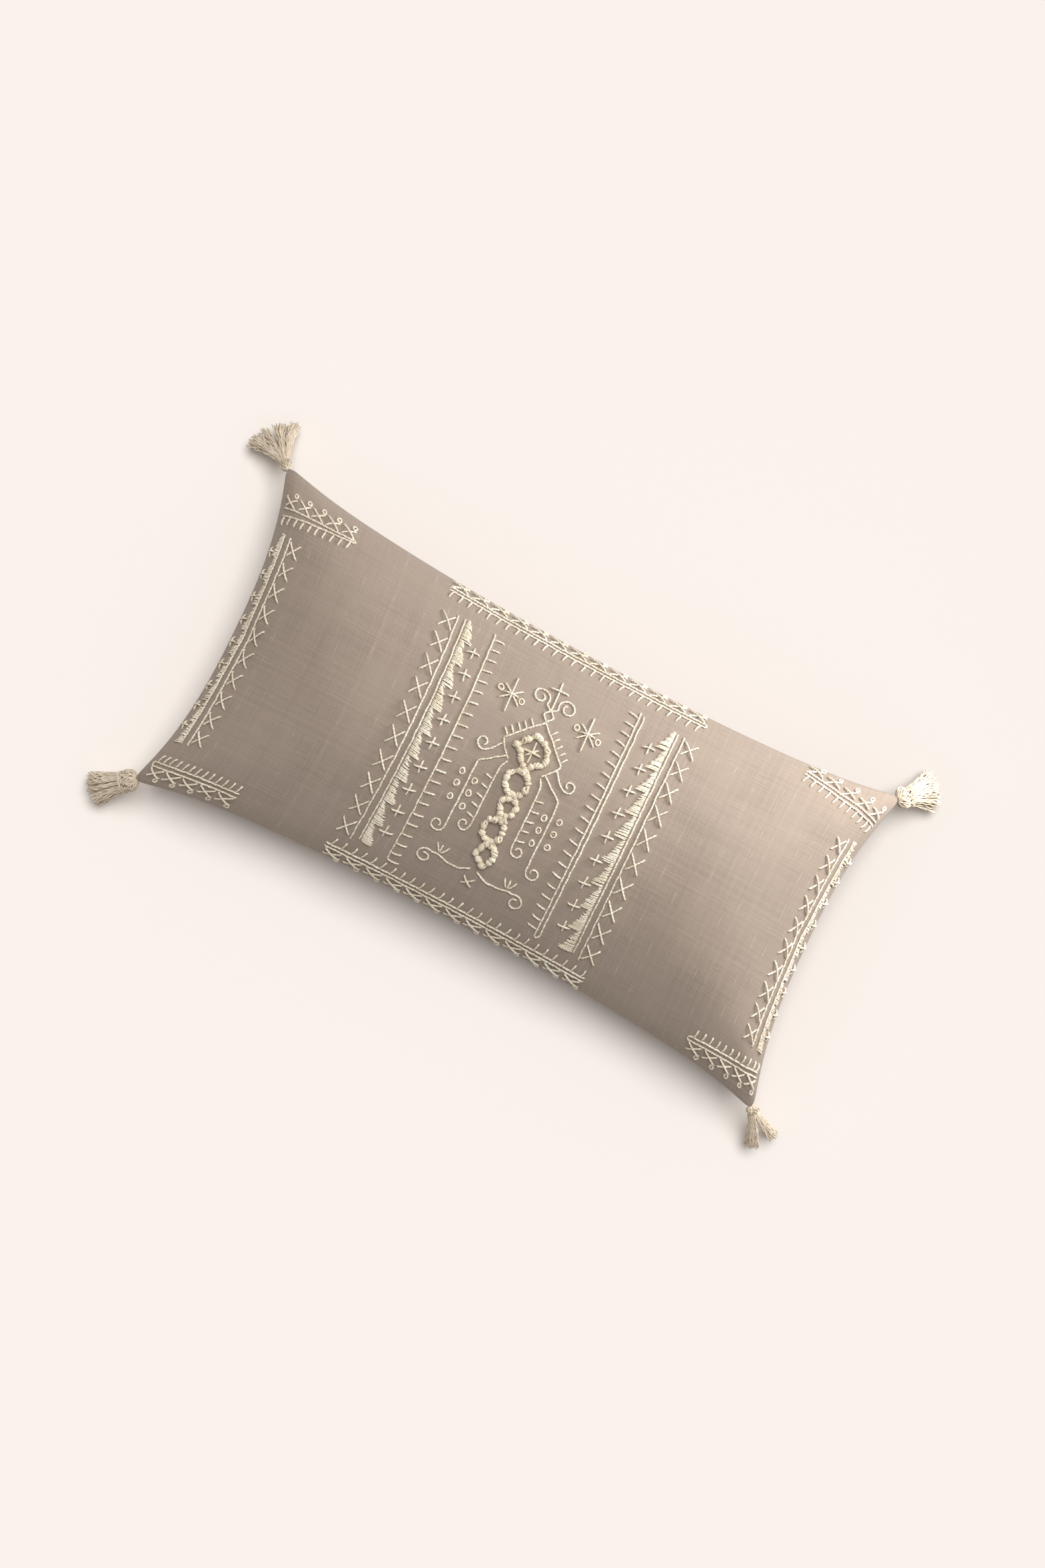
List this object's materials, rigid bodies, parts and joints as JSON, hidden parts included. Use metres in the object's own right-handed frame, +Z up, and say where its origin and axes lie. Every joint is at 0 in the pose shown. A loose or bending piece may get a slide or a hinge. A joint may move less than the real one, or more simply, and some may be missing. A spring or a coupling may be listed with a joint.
{
  "type": "throw pillow",
  "caption": "Oblong lumbar throw pillow: zipped cloth cover with an embroidered front, a filled insert inside, and a cotton tassel hinged at each corner.",
  "frame": {"origin": "on the surface that the pillow lies on, under the middle of the pillow", "axes": "+X along the pillow's length, +Y across it to the long side far from the zip, +Z up out of the embroidered front"},
  "size_m": [0.6862, 0.3658, 0.1278],
  "materials": {
    "cover_cloth": "slubbed linen and cotton plain weave, matt",
    "embroidery_thread": "thick two-ply cotton thread, matt",
    "tassel_cotton": "loose cotton yarn, matt",
    "insert_cloth": "smooth bleached cotton",
    "filling_fibre": "soft loose fibre",
    "zip_tape": "herringbone tape",
    "zip_teeth": "nylon coil, satin",
    "zip_metal": "aged brass plate, satin"
  },
  "bodies": {
    "cover": {"front_panel": "cover_cloth", "back_panel": "cover_cloth", "back_placket": "cover_cloth", "insert_front": "insert_cloth", "insert_back": "insert_cloth", "filling": "filling_fibre", "zip_tape_upper": "zip_tape", "zip_tape_lower": "zip_tape", "zip_teeth_upper": "zip_teeth", "zip_teeth_lower": "zip_teeth", "zip_stop_closed": "zip_metal", "zip_stop_open": "zip_metal", "top_left_anchor": "tassel_cotton", "top_right_anchor": "tassel_cotton", "bottom_left_anchor": "tassel_cotton", "bottom_right_anchor": "tassel_cotton", "medallion_cord": "embroidery_thread", "medallion_lines": "embroidery_thread", "medallion_rings": "embroidery_thread", "medallion_stars": "embroidery_thread", "left_comb": "embroidery_thread", "left_satin": "embroidery_thread", "left_crosses": "embroidery_thread", "left_lattice": "embroidery_thread", "right_comb": "embroidery_thread", "right_satin": "embroidery_thread", "right_crosses": "embroidery_thread", "right_lattice": "embroidery_thread", "top_border": "embroidery_thread", "bottom_border": "embroidery_thread", "left_end_border": "embroidery_thread", "right_end_border": "embroidery_thread", "top_left_band": "embroidery_thread", "top_right_band": "embroidery_thread", "bottom_left_band": "embroidery_thread", "bottom_right_band": "embroidery_thread"},
    "zip_slider": {"zip_slider": "zip_metal"},
    "zip_pull": {"zip_pull": "zip_metal"},
    "top_left_loop": {"top_left_loop": "tassel_cotton"},
    "top_left_tassel": {"top_left_head": "tassel_cotton", "top_left_binding": "tassel_cotton", "top_left_skirt": "tassel_cotton"},
    "top_right_loop": {"top_right_loop": "tassel_cotton"},
    "top_right_tassel": {"top_right_head": "tassel_cotton", "top_right_binding": "tassel_cotton", "top_right_skirt": "tassel_cotton"},
    "bottom_left_loop": {"bottom_left_loop": "tassel_cotton"},
    "bottom_left_tassel": {"bottom_left_head": "tassel_cotton", "bottom_left_binding": "tassel_cotton", "bottom_left_skirt": "tassel_cotton"},
    "bottom_right_loop": {"bottom_right_loop": "tassel_cotton"},
    "bottom_right_tassel": {"bottom_right_head": "tassel_cotton", "bottom_right_binding": "tassel_cotton", "bottom_right_skirt": "tassel_cotton"}
  },
  "joints": [
    {"name": "zip_slide", "type": "slide", "parent": "cover", "child": "zip_slider", "axis": [1, 0, 0], "range_m": [0, 0.334]},
    {"name": "zip_pull_swing", "type": "hinge", "parent": "zip_slider", "child": "zip_pull", "pos_m": [-0.167, -0.1103, 0.0275], "axis": [0, -0.7361, 0.6769], "range_deg": [-88, 88]},
    {"name": "top_left_swing", "type": "hinge", "parent": "cover", "child": "top_left_loop", "pos_m": [-0.30366, 0.14704, 0.035], "axis": [0, 0, 1], "range_deg": [-75, 75]},
    {"name": "top_left_lift", "type": "hinge", "parent": "top_left_loop", "child": "top_left_tassel", "pos_m": [-0.30619, 0.14916, 0.035], "axis": [0.6428, 0.766, 0], "range_deg": [-52, 110]},
    {"name": "top_right_swing", "type": "hinge", "parent": "cover", "child": "top_right_loop", "pos_m": [0.29202, 0.14704, 0.035], "axis": [0, 0, 1], "range_deg": [-75, 75]},
    {"name": "top_right_lift", "type": "hinge", "parent": "top_right_loop", "child": "top_right_tassel", "pos_m": [0.29455, 0.14916, 0.035], "axis": [0.6428, -0.766, 0], "range_deg": [-52, 110]},
    {"name": "bottom_left_swing", "type": "hinge", "parent": "cover", "child": "bottom_left_loop", "pos_m": [-0.29202, -0.14704, 0.035], "axis": [0, 0, 1], "range_deg": [-75, 75]},
    {"name": "bottom_left_lift", "type": "hinge", "parent": "bottom_left_loop", "child": "bottom_left_tassel", "pos_m": [-0.29455, -0.14916, 0.035], "axis": [-0.6428, 0.766, 0], "range_deg": [-52, 110]},
    {"name": "bottom_right_swing", "type": "hinge", "parent": "cover", "child": "bottom_right_loop", "pos_m": [0.30366, -0.14704, 0.035], "axis": [0, 0, 1], "range_deg": [-75, 75]},
    {"name": "bottom_right_lift", "type": "hinge", "parent": "bottom_right_loop", "child": "bottom_right_tassel", "pos_m": [0.30619, -0.14916, 0.035], "axis": [-0.6428, -0.766, 0], "range_deg": [-52, 110]}
  ]
}
